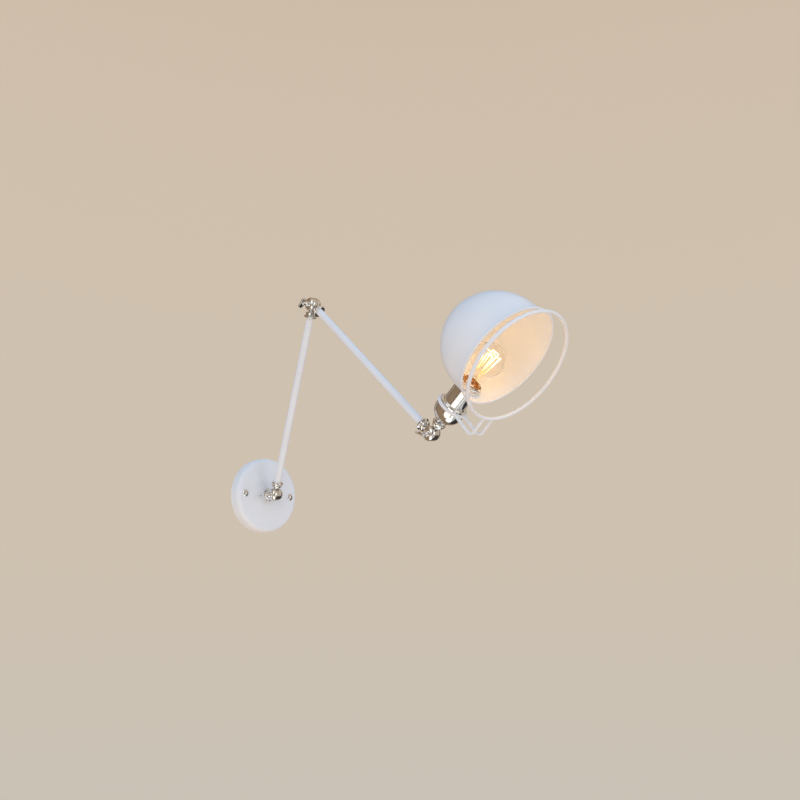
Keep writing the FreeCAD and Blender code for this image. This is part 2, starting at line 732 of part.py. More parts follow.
def ring_nut():
    inner = SHELL_DIAMETER / 2 + THREAD_CLEARANCE
    outer = RING_NUT_DIAMETER / 2
    top = RING_NUT_BOTTOM + RING_NUT_HEIGHT
    chamfer = min(RING_NUT_CHAMFER, (outer - inner) / 2)
    return lathe(
        (inner, RING_NUT_BOTTOM),
        (outer, RING_NUT_BOTTOM),
        (outer, top - chamfer),
        (outer - chamfer * 0.3, top - chamfer * 0.3, outer - chamfer, top),
        (inner, top),
    )


def holder_insert():
    """Ceramic core, held under the shell's shoulder by its flange."""
    flange = SPIGOT_DIAMETER / 2 - CUP_WALL - HOLE_CLEARANCE
    step = SHELL_INNER_RADIUS - HOLE_CLEARANCE
    boss = SLEEVE_DIAMETER / 2 - SLEEVE_WALL - THREAD_CLEARANCE
    core = lathe(
        (0, INSERT_BOTTOM),
        (flange, INSERT_BOTTOM),
        (flange, FLANGE_BOTTOM - FACE_CLEARANCE),
        (step, FLANGE_BOTTOM - FACE_CLEARANCE),
        (step, SLEEVE_BOTTOM),
        (boss, SLEEVE_BOTTOM),
        (boss, INSERT_TOP),
        (0, INSERT_TOP),
    )
    hole = LEAD_DIAMETER / 2 + THREAD_CLEARANCE
    for side in (-1, 1):
        core = core.cut(rod(hole, INSERT_BOTTOM, FLANGE_BOTTOM, 0, side * LEAD_SPACING / 2))
    return core


def screw_sleeve():
    outer = SLEEVE_DIAMETER / 2
    return ring(outer - SLEEVE_WALL, outer, SLEEVE_BOTTOM, SHELL_TOP - SHELL_LIP)


def centre_contact():
    radius = CONTACT_DIAMETER / 2
    top = INSERT_TOP + CONTACT_HEIGHT
    return lathe(
        (0, INSERT_TOP),
        (radius, INSERT_TOP),
        (radius, INSERT_TOP + CONTACT_HEIGHT / 2),
        cap_step(radius, INSERT_TOP + CONTACT_HEIGHT / 2, top),
    )


# Shade, in the mouth's frame: Z comes out of the mouth and the dome's centre is the origin

def dome_body(inset, mouth):
    """Solid dome inset from the outer skin, open flat at the given height of the mouth."""
    radius = DOME_RADIUS - inset
    depth = DOME_DEPTH - inset
    rim = RIM_RADIUS - inset
    pole = vector(0, 0, -depth)
    equator = vector(radius, 0, 0)
    longer, shorter = (pole, equator) if depth > radius else (equator, pole)
    ellipse = Part.Ellipse(longer, shorter, vector(0, 0, 0))
    bowl = ellipse.toShape(ellipse.parameter(pole), ellipse.parameter(equator))
    if bowl.Length > math.pi * (radius + depth) / 2:
        bowl = ellipse.toShape(ellipse.parameter(equator), ellipse.parameter(pole))
    edge = vector(rim, 0, mouth)
    # The skirt leaves the dome upright and flares a little towards the rim
    flare = rim - radius
    bulge = vector(radius + flare * 0.25, 0, mouth / 2)
    skirt = Part.Arc(equator, bulge, edge).toShape()
    top = Part.LineSegment(edge, vector(0, 0, mouth)).toShape()
    axis = Part.LineSegment(vector(0, 0, mouth), pole).toShape()
    face = Part.Face(Part.Wire(Part.__sortEdges__([bowl, skirt, top, axis])))
    return face.revolve(vector(0, 0, 0), vector(*Z_AXIS), 360)


def mouth_frame():
    """From the mouth's frame to the lampholder's frame."""
    return moved(0, 0, SHADE_CENTRE).multiply(turned(X_AXIS, MOUTH_ANGLE))


def shade():
    """Spun dome with a rolled rim and a round flat seat sunk where the lampholder passes."""
    skin = placed(dome_body(0, SKIRT_LENGTH), mouth_frame())
    hollow = placed(dome_body(SHADE_WALL, SKIRT_LENGTH), mouth_frame())
    below = LAND_HEIGHT - DOME_RADIUS
    seat = LAND_DIAMETER / 2
    plug = rod(seat + SHADE_WALL, below, LAND_HEIGHT + SHADE_WALL).common(skin)
    wall = skin.cut(hollow).fuse(plug)
    wall = wall.cut(rod(seat, below, LAND_HEIGHT))
    roll = RIM_BEAD_DIAMETER / 2
    bead = Part.makeTorus(RIM_RADIUS - SHADE_WALL / 2, roll, vector(0, 0, SKIRT_LENGTH))
    wall = wall.fuse(placed(bead, mouth_frame()))
    hole = SHELL_DIAMETER / 2 + HOLE_CLEARANCE
    return wall.cut(rod(hole, below, LAND_HEIGHT + 2 * SHADE_WALL))


def guard_wire():
    """Welded wire guard: a ring before the mouth on two legs from a loop round the holder."""
    wire = GUARD_WIRE_DIAMETER / 2
    ring_frame = moved(0, 0, SHADE_CENTRE).multiply(turned(X_AXIS, GUARD_ANGLE))
    ring_frame = ring_frame.multiply(moved(0, -GUARD_DROP, GUARD_REACH))
    hoop = placed(Part.makeTorus(GUARD_RING_RADIUS, wire), ring_frame)
    loop = Part.makeTorus(LOOP_RADIUS, wire, vector(0, 0, LOOP_HEIGHT))
    half = GUARD_LEG_SPACING / 2
    loop_reach = math.sqrt(LOOP_RADIUS ** 2 - half ** 2)
    hoop_drop = math.sqrt(GUARD_RING_RADIUS ** 2 - half ** 2)
    legs = []
    for side in (-1, 1):
        hoop_end = ring_frame.multVec(vector(side * half, -hoop_drop, 0))
        points = [
            vector(side * half, -loop_reach, LOOP_HEIGHT),
            vector(side * half, -GUARD_LEG_REACH, LOOP_HEIGHT),
            hoop_end,
        ]
        legs.append(bent_rod(points, GUARD_LEG_DIAMETER / 2, GUARD_LEG_BEND))
    return loop.fuse(legs + [hoop])


# Bulb, along Z from the head's hinge

def bulb_cap():
    outer = CAP_DIAMETER / 2
    inner = outer - CAP_WALL
    neck = INSULATOR_DIAMETER / 2
    return lathe(
        (neck - CAP_WALL, CAP_BOTTOM),
        (neck, CAP_BOTTOM),
        (outer, CAP_BOTTOM + (outer - neck) * 0.6),
        (outer, CAP_TOP),
        (inner, CAP_TOP),
        (inner, CAP_BOTTOM + (outer - neck) * 0.6 + CAP_WALL),
        (neck - CAP_WALL, CAP_BOTTOM + CAP_WALL),
    )


def bulb_insulator():
    low = BULB_TIP + CAP_TIP_HEIGHT
    return lathe(
        (0, low),
        (CAP_TIP_DIAMETER / 2, low),
        (INSULATOR_DIAMETER / 2 - CAP_WALL, CAP_BOTTOM),
        (0, CAP_BOTTOM),
    )


def bulb_tip():
    radius = CAP_TIP_DIAMETER / 2
    top = BULB_TIP + CAP_TIP_HEIGHT
    return lathe((0, top), (radius, top), cap_step(radius, top, BULB_TIP))


def glass_outline(inset):
    """Fillet centre height and globe contact point of the bulb's skin, inset from outside."""
    neck = GLASS_NECK_DIAMETER / 2 - inset
    globe = GLOBE_DIAMETER / 2 - inset
    fillet = GLOBE_FILLET + inset
    drop = math.sqrt((globe + fillet) ** 2 - (neck + fillet) ** 2)
    share = globe / (globe + fillet)
    contact = ((neck + fillet) * share, GLOBE_CENTRE - drop * share)
    return neck, globe, fillet, GLOBE_CENTRE - drop, contact


def glass_steps(inset):
    """Outline steps from the top of the neck to the tip of the globe."""
    neck, globe, fillet, fillet_height, contact = glass_outline(inset)
    half_turn = math.atan2(contact[1] - fillet_height, neck + fillet - contact[0]) / 2
    bend = (neck + fillet - fillet * math.cos(half_turn), fillet_height + fillet * math.sin(half_turn))
    side = (globe, GLOBE_CENTRE)
    crown = (globe * math.sqrt(0.5), GLOBE_CENTRE + globe * math.sqrt(0.5))
    start = math.atan2(contact[1] - GLOBE_CENTRE, contact[0])
    flank = (globe * math.cos(start / 2), GLOBE_CENTRE + globe * math.sin(start / 2))
    return [(neck, fillet_height), bend + contact, flank + side, crown + (0, GLOBE_CENTRE + globe)]


def bulb_glass():
    outer_neck = GLASS_NECK_DIAMETER / 2
    outside = lathe((0, GLASS_BOTTOM), (outer_neck, GLASS_BOTTOM), *glass_steps(0))
    inner_neck = outer_neck - GLASS_WALL
    inside = lathe((0, GLASS_BOTTOM), (inner_neck, GLASS_BOTTOM), *glass_steps(GLASS_WALL))
    return outside.cut(inside)


def cage_top():
    return BULB_TIP + CAGE_BOTTOM_HEIGHT + CAGE_HEIGHT


def bulb_stem():
    """Glass stem: a flare in the neck, a press and a rod that carries two buttons."""
    flare = STEM_FLARE_DIAMETER / 2
    press = STEM_PRESS_DIAMETER / 2
    stalk = STEM_ROD_DIAMETER / 2
    button = STEM_BUTTON_DIAMETER / 2
    low = GLASS_BOTTOM + SEAT_GAP
    neck = low + STEM_FLARE_HEIGHT
    rim = GLASS_NECK_DIAMETER / 2 - GLASS_WALL - SEAT_GAP
    bottom_button = BULB_TIP + CAGE_BOTTOM_HEIGHT
    steps = [
        (rim, low),
        (rim, low + GLASS_WALL),
        (flare * 0.62, low + STEM_FLARE_HEIGHT * 0.35, press, neck),
        (stalk, neck + STEM_FLARE_HEIGHT * 0.3),
    ]
    for height in (bottom_button, cage_top()):
        steps.append((stalk, height - button))
        steps.append((button, height, stalk, height + button))
    steps.append((0, cage_top() + button + stalk))
    return lathe((0, low), *steps)


def cage_points():
    """Corners of the filament, which runs up and down round the stem."""
    bottom = BULB_TIP + CAGE_BOTTOM_HEIGHT
    points = []
    for strand in range(CAGE_STRANDS):
        angle = 2 * math.pi * strand / CAGE_STRANDS
        ends = [(CAGE_BOTTOM_RADIUS, bottom), (CAGE_TOP_RADIUS, cage_top())]
        if strand % 2:
            ends.reverse()
        for radius, height in ends:
            points.append(vector(radius * math.cos(angle), radius * math.sin(angle), height))
    return points


def filament():
    return bent_rod(cage_points(), FILAMENT_DIAMETER / 2, FILAMENT_BEND)


def straight_wire(start, end, radius):
    return Part.makeCylinder(radius, (end - start).Length, start, end - start)


def filament_supports():
    """Wires from the stem's buttons to the filament's bends, and the two lead-in wires."""
    points = cage_points()
    reach = FILAMENT_DIAMETER / 2 + FACE_CLEARANCE
    root = STEM_BUTTON_DIAMETER / 2 + FACE_CLEARANCE
    radius = SUPPORT_DIAMETER / 2
    wires = []
    for first, second in zip(points[1:-1:2], points[2::2]):
        middle = (first + second) * 0.5
        out = vector(middle.x, middle.y, 0)
        tip = out.Length - reach
        out.normalize()
        level = vector(0, 0, middle.z)
        wires.append(straight_wire(level + out * root, level + out * tip, radius))
    press = GLASS_BOTTOM + SEAT_GAP + STEM_FLARE_HEIGHT
    for end in (points[0], points[-1]):
        out = vector(end.x, end.y, 0).normalize()
        start = out * (STEM_PRESS_DIAMETER / 2 + SUPPORT_DIAMETER) + vector(0, 0, press)
        wires.append(straight_wire(start, end - vector(0, 0, SUPPORT_DIAMETER), radius))
    return Part.makeCompound(wires)


def lamp_frames():
    """Frames of the plate, the pivots, the arms and the head in the photographed pose."""
    frames = {"plate": turned(X_AXIS, 90)}
    swivel = turned(Y_AXIS, SWIVEL_TURN)
    wall_pivot = swivel.multiply(moved(0, -PIVOT_STANDOFF, 0))
    lower = wall_pivot.multiply(turned(X_AXIS, LOWER_ARM_TILT))
    elbow_pivot = lower.multiply(moved(0, 0, ARM_PITCH))
    upper = elbow_pivot.multiply(turned(X_AXIS, ELBOW_TURN))
    head_pivot = upper.multiply(moved(0, 0, ARM_PITCH))
    head = head_pivot.multiply(turned(X_AXIS, HEAD_TURN))
    back = turned(X_AXIS, 180)
    frames["base"] = wall_pivot.multiply(turned(X_AXIS, -90))
    frames["lower"] = lower
    frames["lower_end"] = elbow_pivot.multiply(back)
    frames["upper"] = upper
    frames["upper_end"] = head_pivot.multiply(back)
    frames["head"] = head
    frames["shade"] = head.multiply(turned(Z_AXIS, SHADE_TWIST))
    frames["guard"] = head.multiply(turned(Z_AXIS, GUARD_TWIST))
    # A wing screw stands on the clamp side, with its own Z along -X and its wings across it
    level = swivel.multiply(turned(Y_AXIS, -90)).multiply(turned(Z_AXIS, 90))
    turns = {"wall": WALL_WING_TURN, "elbow": ELBOW_WING_TURN, "head": HEAD_WING_TURN}
    pivots = {"wall": wall_pivot, "elbow": elbow_pivot, "head": head_pivot}
    for name, turn in turns.items():
        place = FreeCAD.Placement(pivots[name].Base, level.Rotation)
        frames[name + "_wing"] = place.multiply(turned(Z_AXIS, turn))
    return frames


def main():
    frames = lamp_frames()
    tube_stub = FERRULE_END + STUB_ENGAGEMENT
    cup_stub = cup_floor() + CUP_NUT_HEIGHT + CUP_STUB_PROUD
    arm_half = clamp_half(NECK_DIAMETER / 2, STUB_RADIUS, tube_stub)
    lead_start = FERRULE_START
    pieces = {
        "wall_plate": (wall_plate(), "plate"),
        "mounting_strap": (mounting_strap(), "plate"),
        "plate_screws": (plate_screws(), "plate"),
        "earth_screw": (earth_screw(), "plate"),
        "terminal_block": (terminal_block(), "plate"),
        "supply_leads": (supply_leads(), "plate"),
        "swivel_washer": (swivel_washer(), "plate"),
        "wall_knuckle_base": (base_knuckle(), "base"),
        "base_ferrule": (base_ferrule(), "base"),
        "lock_nut": (lock_nut(), "base"),
        "wall_friction_washer": (friction_washer(), "base"),
        "wall_wing_screw": (wing_screw(), "wall_wing"),
        "wall_knuckle_arm": (far_half(tube_stub), "lower"),
        "lower_arm_bottom_ferrule": (arm_ferrule(), "lower"),
        "lower_arm_tube": (arm_tube(), "lower"),
        "lower_arm_leads": (straight_leads(lead_start, ARM_PITCH - lead_start), "lower"),
        "lower_arm_top_ferrule": (arm_ferrule(), "lower_end"),
        "elbow_knuckle_lower": (arm_half, "lower_end"),
        "elbow_friction_washer": (friction_washer(), "lower_end"),
        "elbow_wing_screw": (wing_screw(), "elbow_wing"),
        "elbow_knuckle_upper": (far_half(tube_stub), "upper"),
        "upper_arm_top_ferrule": (arm_ferrule(), "upper"),
        "upper_arm_tube": (arm_tube(), "upper"),
        "upper_arm_leads": (straight_leads(lead_start, ARM_PITCH - lead_start), "upper"),
        "upper_arm_bottom_ferrule": (arm_ferrule(), "upper_end"),
        "head_knuckle_arm": (arm_half, "upper_end"),
        "head_friction_washer": (friction_washer(), "upper_end"),
        "head_wing_screw": (wing_screw(), "head_wing"),
        "head_knuckle_lamp": (far_half(cup_stub), "head"),
        "head_ferrule": (head_ferrule(), "head"),
        "head_leads": (straight_leads(lead_start, FLANGE_BOTTOM - SEAT_GAP), "head"),
        "holder_cup": (holder_cup(), "head"),
        "cup_nut": (cup_nut(), "head"),
        "holder_shell": (holder_shell(), "head"),
        "holder_insert": (holder_insert(), "head"),
        "screw_sleeve": (screw_sleeve(), "head"),
        "centre_contact": (centre_contact(), "head"),
        "seat_collar": (seat_collar(), "head"),
        "shade": (shade(), "shade"),
        "ring_nut": (ring_nut(), "head"),
        "guard_wire": (guard_wire(), "guard"),
        "bulb_cap": (bulb_cap(), "head"),
        "bulb_insulator": (bulb_insulator(), "head"),
        "bulb_tip": (bulb_tip(), "head"),
        "bulb_glass": (bulb_glass(), "head"),
        "bulb_stem": (bulb_stem(), "head"),
        "filament": (filament(), "head"),
        "filament_supports": (filament_supports(), "head"),
    }
    os.makedirs("parts", exist_ok=True)
    for name, (shape, frame) in pieces.items():
        placed(shape, frames[frame]).exportStep(os.path.join("parts", name + ".step"))
    for name in ("base", "lower_end", "upper_end", "head"):
        print(name, "hinge at", [round(value, 4) for value in frames[name].Base])
    hinge = frames["head"].Rotation.multVec(vector(*X_AXIS))
    print("hinge axis", [round(value, 7) for value in hinge])


main()
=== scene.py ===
import json
import math

import bpy
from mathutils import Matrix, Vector

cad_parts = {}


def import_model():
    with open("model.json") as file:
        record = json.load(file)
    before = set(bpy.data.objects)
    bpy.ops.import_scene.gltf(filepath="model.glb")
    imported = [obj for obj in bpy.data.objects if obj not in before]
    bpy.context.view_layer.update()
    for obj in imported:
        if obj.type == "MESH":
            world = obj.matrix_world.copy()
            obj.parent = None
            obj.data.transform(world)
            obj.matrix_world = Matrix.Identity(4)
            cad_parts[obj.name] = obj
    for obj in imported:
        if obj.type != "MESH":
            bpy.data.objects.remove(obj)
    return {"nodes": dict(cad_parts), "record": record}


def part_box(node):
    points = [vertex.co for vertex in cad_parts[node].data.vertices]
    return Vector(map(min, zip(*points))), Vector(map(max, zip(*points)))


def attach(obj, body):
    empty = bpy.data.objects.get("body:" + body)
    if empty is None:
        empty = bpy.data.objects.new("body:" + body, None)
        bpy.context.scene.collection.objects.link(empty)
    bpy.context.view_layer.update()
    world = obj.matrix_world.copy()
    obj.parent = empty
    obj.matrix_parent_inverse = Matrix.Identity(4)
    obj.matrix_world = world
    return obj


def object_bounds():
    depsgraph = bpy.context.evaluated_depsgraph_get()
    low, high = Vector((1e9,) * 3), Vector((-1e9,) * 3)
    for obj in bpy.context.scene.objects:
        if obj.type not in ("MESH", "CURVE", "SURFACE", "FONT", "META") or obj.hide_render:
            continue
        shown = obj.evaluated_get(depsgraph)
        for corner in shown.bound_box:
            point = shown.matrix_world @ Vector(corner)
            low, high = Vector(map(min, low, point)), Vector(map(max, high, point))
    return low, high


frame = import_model()
cad_low, cad_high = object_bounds()
object_middle = (cad_low + cad_high) / 2

# The photograph's camera, in metres, degrees and millimetres
CAMERA_PLACE = (-0.8003, -1.0497, -0.1387)
CAMERA_TURN = (103.04, -0.07, -47.27)
CAMERA_LENS = 35.51
CAMERA_SENSOR = 36.0
CAMERA_CLIP_START = 0.02
CAMERA_CLIP_END = 60.0

# The studio: a round sweep of floor and wall, with the lamp hung at its middle
FLOOR_HEIGHT = -1.7
FLOOR_RADIUS = 2.0
SWEEP_RADIUS = 1.6
SWEEP_TOP = 6.4
SWEEP_COLOUR = (0.50, 0.43, 0.34)
SWEEP_ROUGHNESS = 0.9
SWEEP_SPECULAR = 0.1
SWEEP_GLOW_COLOUR = (0.86, 0.745, 0.59)
SWEEP_GLOW = 0.36
SWEEP_SEGMENTS = 96
SWEEP_ARC_STEPS = 16

# Light from all round, from straight down to straight up
WORLD_LOW = (0.72, 0.56, 0.45)
WORLD_LEVEL = (0.54, 0.545, 0.575)
WORLD_HIGH = (0.43, 0.59, 0.81)
STRAIGHT_DOWN = -1.0
HORIZON = 0.5

# Soft boxes, placed by distance and direction from the lamp's middle, in metres and watts
SOFT_BOXES = {
    "key_light": {
        "distance": 2.1,
        "direction": (-0.80, -0.48, 0.36),
        "size": 1.6,
        "power": 10.5,
        "colour": (0.82, 0.91, 1.0),
    },
    "fill_light": {
        "distance": 2.0,
        "direction": (0.25, -0.95, 0.05),
        "size": 1.4,
        "power": 7.5,
        "colour": (1.0, 0.98, 0.965),
    },
    "low_light": {
        "distance": 1.5,
        "direction": (-0.60, -0.08, -0.80),
        "size": 0.85,
        "power": 3.6,
        "colour": (1.0, 0.86, 0.70),
    },
    "back_light": {
        "distance": 2.2,
        "direction": (0.75, 0.60, 0.28),
        "size": 1.4,
        "power": 5.0,
        "colour": (1.0, 0.96, 0.92),
    },
}

# Cards that only polished surfaces see, placed the same way
BLACK_CARD_COLOUR = (0.035, 0.03, 0.026)
BROWN_CARD_COLOUR = (0.12, 0.085, 0.055)
WHITE_CARD_COLOUR = (0.95, 0.94, 0.92)
CARD_ROUGHNESS = 0.95
CARDS = {
    "camera_flag": {
        "distance": 1.7,
        "direction": (-0.55, -0.82, 0.16),
        "width": 0.8,
        "height": 1.7,
        "colour": BLACK_CARD_COLOUR,
        "glow": 0.0,
    },
    "wall_flag": {
        "distance": 1.4,
        "direction": (-0.88, 0.30, -0.36),
        "width": 0.2,
        "height": 1.2,
        "colour": BLACK_CARD_COLOUR,
        "glow": 0.0,
    },
    "left_flag": {
        "distance": 1.4,
        "direction": (-0.85, -0.30, -0.42),
        "width": 0.2,
        "height": 0.7,
        "colour": BLACK_CARD_COLOUR,
        "glow": 0.0,
    },
    "right_flag": {
        "distance": 1.0,
        "direction": (0.68, 0.10, -0.72),
        "width": 0.95,
        "height": 0.8,
        "colour": BLACK_CARD_COLOUR,
        "glow": 0.0,
    },
    "floor_card": {
        "distance": 1.0,
        "direction": (0.04, 0.05, -1.0),
        "width": 0.55,
        "height": 0.8,
        "colour": WHITE_CARD_COLOUR,
        "glow": 0.9,
    },
    "side_flag": {
        "distance": 1.5,
        "direction": (0.93, -0.34, -0.10),
        "width": 0.8,
        "height": 1.6,
        "colour": BROWN_CARD_COLOUR,
        "glow": 0.0,
    },
}

# Tan cards in the wall's place, round an opening behind the plate
WALL_CARD_COLOUR = (0.36, 0.245, 0.14)
WALL_CARD_SETBACK = 0.05
WALL_CARD_OPENING = 0.13
WALL_CARD_REACH = 1.8

# Colours of the finishes
ENAMEL_LIGHT = (0.865, 0.875, 0.895)
ENAMEL_DARK = (0.81, 0.822, 0.845)
CHROME_LIGHT = (0.80, 0.80, 0.805)
CHROME_DARK = (0.66, 0.655, 0.645)
ZINC_LIGHT = (0.66, 0.67, 0.68)
ZINC_DARK = (0.45, 0.46, 0.48)
BRASS_LIGHT = (0.97, 0.60, 0.24)
BRASS_DARK = (0.88, 0.49, 0.17)
SLEEVE_LIGHT = (0.80, 0.77, 0.70)
SLEEVE_DARK = (0.52, 0.49, 0.43)
FIBRE_LIGHT = (0.16, 0.10, 0.07)
FIBRE_DARK = (0.05, 0.035, 0.03)
PLASTIC_LIGHT = (0.86, 0.85, 0.81)
PLASTIC_DARK = (0.74, 0.73, 0.69)
GLAZE_LIGHT = (0.92, 0.90, 0.85)
GLAZE_DARK = (0.80, 0.77, 0.70)
VITRITE_LIGHT = (0.06, 0.06, 0.07)
VITRITE_DARK = (0.015, 0.015, 0.02)
GLASS_LIGHT = (1.0, 0.995, 0.985)
GLASS_DARK = (0.97, 0.945, 0.90)
GLOW_HOT = (1.0, 0.84, 0.52)
GLOW_COOL = (0.55, 0.23, 0.05)
GLOW_STRENGTH = 3.2

# The lit bulb, in watts and metres
BULB_LIGHT = (1.0, 0.50, 0.03)
BULB_POWER = 0.058
BULB_LIGHT_RADIUS = 0.011


def centre(node):
    low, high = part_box(node)
    return (low + high) / 2


# Shader helpers

class Finish:
    """A procedural material, with the node chains that the finishes share."""

    def __init__(self, name):
        self.material = bpy.data.materials.new(name)
        self.material.use_nodes = True
        self.nodes = self.material.node_tree.nodes
        self.links = self.material.node_tree.links
        self.nodes.clear()
        output = self.nodes.new("ShaderNodeOutputMaterial")
        self.shader = self.nodes.new("ShaderNodeBsdfPrincipled")
        self.links.new(self.shader.outputs["BSDF"], output.inputs["Surface"])
        self.place = self.nodes.new("ShaderNodeTexCoord").outputs["Object"]

    def set(self, **values):
        for name, value in values.items():
            self.shader.inputs[name.replace("_", " ")].default_value = value

    def stretched(self, scale):
        mapping = self.nodes.new("ShaderNodeMapping")
        mapping.inputs["Scale"].default_value = scale
        self.links.new(self.place, mapping.inputs["Vector"])
        return mapping.outputs["Vector"]

    def noise(self, scale, detail=3.0, roughness=0.5, place=None):
        node = self.nodes.new("ShaderNodeTexNoise")
        node.inputs["Scale"].default_value = scale
        node.inputs["Detail"].default_value = detail
        node.inputs["Roughness"].default_value = roughness
        self.links.new(place or self.place, node.inputs["Vector"])
        return node.outputs["Fac"]

    def cells(self, scale):
        node = self.nodes.new("ShaderNodeTexVoronoi")
        node.inputs["Scale"].default_value = scale
        self.links.new(self.place, node.inputs["Vector"])
        return node.outputs["Color"]

    def waves(self, scale, direction):
        node = self.nodes.new("ShaderNodeTexWave")
        node.bands_direction = direction
        node.inputs["Scale"].default_value = scale
        node.inputs["Distortion"].default_value = 0.0
        self.links.new(self.place, node.inputs["Vector"])
        return node.outputs["Fac"]

    def along(self, direction, origin, pitch):
        """A number that rises by one for each pitch along a direction."""
        shift = self.nodes.new("ShaderNodeVectorMath")
        shift.operation = "SUBTRACT"
        shift.inputs[1].default_value = origin
        self.links.new(self.place, shift.inputs[0])
        dot = self.nodes.new("ShaderNodeVectorMath")
        dot.operation = "DOT_PRODUCT"
        dot.inputs[1].default_value = Vector(direction) / pitch
        self.links.new(shift.outputs["Vector"], dot.inputs[0])
        return dot.outputs["Value"]

    def combined(self, first, second, operation="ADD"):
        node = self.nodes.new("ShaderNodeMath")
        node.operation = operation
        self.links.new(first, node.inputs[0])
        self.links.new(second, node.inputs[1])
        return node.outputs["Value"]

    def scaled(self, value, factor):
        node = self.nodes.new("ShaderNodeMath")
        node.operation = "MULTIPLY"
        node.inputs[1].default_value = factor
        self.links.new(value, node.inputs[0])
        return node.outputs["Value"]

    def ramp(self, value, dark, light, start, end):
        """A colour that goes from dark to light as a value goes from start to end."""
        node = self.nodes.new("ShaderNodeValToRGB")
        first, last = node.color_ramp.elements
        first.position = start
        first.color = (*dark, 1.0)
        last.position = end
        last.color = (*light, 1.0)
        self.links.new(value, node.inputs["Fac"])
        return node.outputs["Color"]

    def span(self, value, low, high, start=0.3, end=0.7):
        """A number that goes from low to high as a value goes from start to end."""
        node = self.nodes.new("ShaderNodeMapRange")
        node.inputs["From Min"].default_value = start
        node.inputs["From Max"].default_value = end
        node.inputs["To Min"].default_value = low
        node.inputs["To Max"].default_value = high
        self.links.new(value, node.inputs["Value"])
        return node.outputs["Result"]

    def colour(self, output):
        self.links.new(output, self.shader.inputs["Base Color"])

    def roughness(self, output):
        self.links.new(output, self.shader.inputs["Roughness"])

    def bump(self, height, distance, strength=1.0):
        node = self.nodes.new("ShaderNodeBump")
        node.inputs["Strength"].default_value = strength
        node.inputs["Distance"].default_value = distance
        self.links.new(height, node.inputs["Height"])
        self.links.new(node.outputs["Normal"], self.shader.inputs["Normal"])


# Finishes

def enamel(name):
    """Sprayed satin enamel: a faint orange peel, and slow changes of tone and gloss."""
    finish = Finish(name)
    finish.set(Coat_Weight=0.08, Coat_Roughness=0.16, Specular_IOR_Level=0.3)
    tone = finish.noise(scale=14.0, detail=4.0)
    finish.colour(finish.ramp(tone, ENAMEL_DARK, ENAMEL_LIGHT, start=0.25, end=0.7))
    finish.roughness(finish.span(finish.noise(scale=60.0), low=0.30, high=0.42))
    fine_peel = finish.scaled(finish.noise(scale=900.0, detail=2.0), factor=0.3)
    peel = finish.combined(finish.noise(scale=300.0, detail=2.0), fine_peel)
    finish.bump(peel, distance=0.00002, strength=0.4)
    return finish.material


def chrome(name, smooth, hazed):
    """Plate over turned brass: hairline polishing marks and a little hazing."""
    finish = Finish(name)
    finish.set(Metallic=1.0)
    haze = finish.noise(scale=95.0, detail=5.0, roughness=0.6)
    finish.colour(finish.ramp(haze, CHROME_DARK, CHROME_LIGHT, start=0.2, end=0.55))
    turned = finish.stretched(scale=(260.0, 260.0, 4200.0))
    hairlines = finish.noise(scale=1.0, detail=4.0, roughness=0.7, place=turned)
    wear = finish.combined(haze, finish.scaled(hairlines, factor=0.5))
    finish.roughness(finish.span(wear, low=smooth, high=hazed, start=0.5, end=1.0))
    finish.bump(hairlines, distance=0.000006, strength=0.35)
    return finish.material


def zinc(name):
    """Zinc plate with its crystal spangle."""
    finish = Finish(name)
    finish.set(Metallic=1.0)
    spangle = finish.cells(scale=420.0)
    finish.colour(finish.ramp(spangle, ZINC_DARK, ZINC_LIGHT, start=0.1, end=0.9))
    finish.roughness(finish.span(finish.noise(scale=160.0, detail=4.0), low=0.28, high=0.5))
    finish.bump(finish.noise(scale=2400.0, detail=2.0), distance=0.00001, strength=0.5)
    return finish.material


def brass(name):
    """Stamped brass with a patchy tarnish."""
    finish = Finish(name)
    finish.set(Metallic=0.8)
    tarnish = finish.noise(scale=130.0, detail=6.0, roughness=0.65)
    finish.colour(finish.ramp(tarnish, BRASS_DARK, BRASS_LIGHT, start=0.3, end=0.6))
    finish.roughness(finish.span(tarnish, low=0.58, high=0.42))
    finish.bump(finish.noise(scale=1800.0, detail=2.0), distance=0.00001, strength=0.5)
    return finish.material


def woven_sleeve(name):
    """Glass-fibre sleeve over the leads, with its braid."""
    finish = Finish(name)
    finish.set(Sheen_Weight=0.2)
    slanted = finish.waves(scale=700.0, direction="DIAGONAL")
    level = finish.waves(scale=900.0, direction="Z")
    braid = finish.combined(slanted, level, operation="MULTIPLY")
    finish.colour(finish.ramp(braid, SLEEVE_DARK, SLEEVE_LIGHT, start=0.05, end=0.6))
    finish.roughness(finish.span(braid, low=0.85, high=0.6, start=0.0, end=1.0))
    finish.bump(braid, distance=0.0001)
    return finish.material


def fibre(name):
    """Pressed fibre sheet, as washers are cut from."""
    finish = Finish(name)
    drawn_out = finish.stretched(scale=(2600.0, 500.0, 700.0))
    strands = finish.noise(scale=1.0, detail=6.0, roughness=0.7, place=drawn_out)
    finish.colour(finish.ramp(strands, FIBRE_DARK, FIBRE_LIGHT, start=0.35, end=0.7))
    finish.roughness(finish.span(strands, low=0.9, high=0.65))
    finish.bump(strands, distance=0.00008)
    return finish.material


def moulded_plastic(name):
    """Moulded plastic with a fine spark-eroded grain."""
    finish = Finish(name)
    grain = finish.noise(scale=2200.0)
    finish.colour(finish.ramp(finish.noise(scale=90.0), PLASTIC_DARK, PLASTIC_LIGHT, start=0.3, end=0.7))
    finish.roughness(finish.span(grain, low=0.45, high=0.62))
    finish.bump(grain, distance=0.00004)
    return finish.material


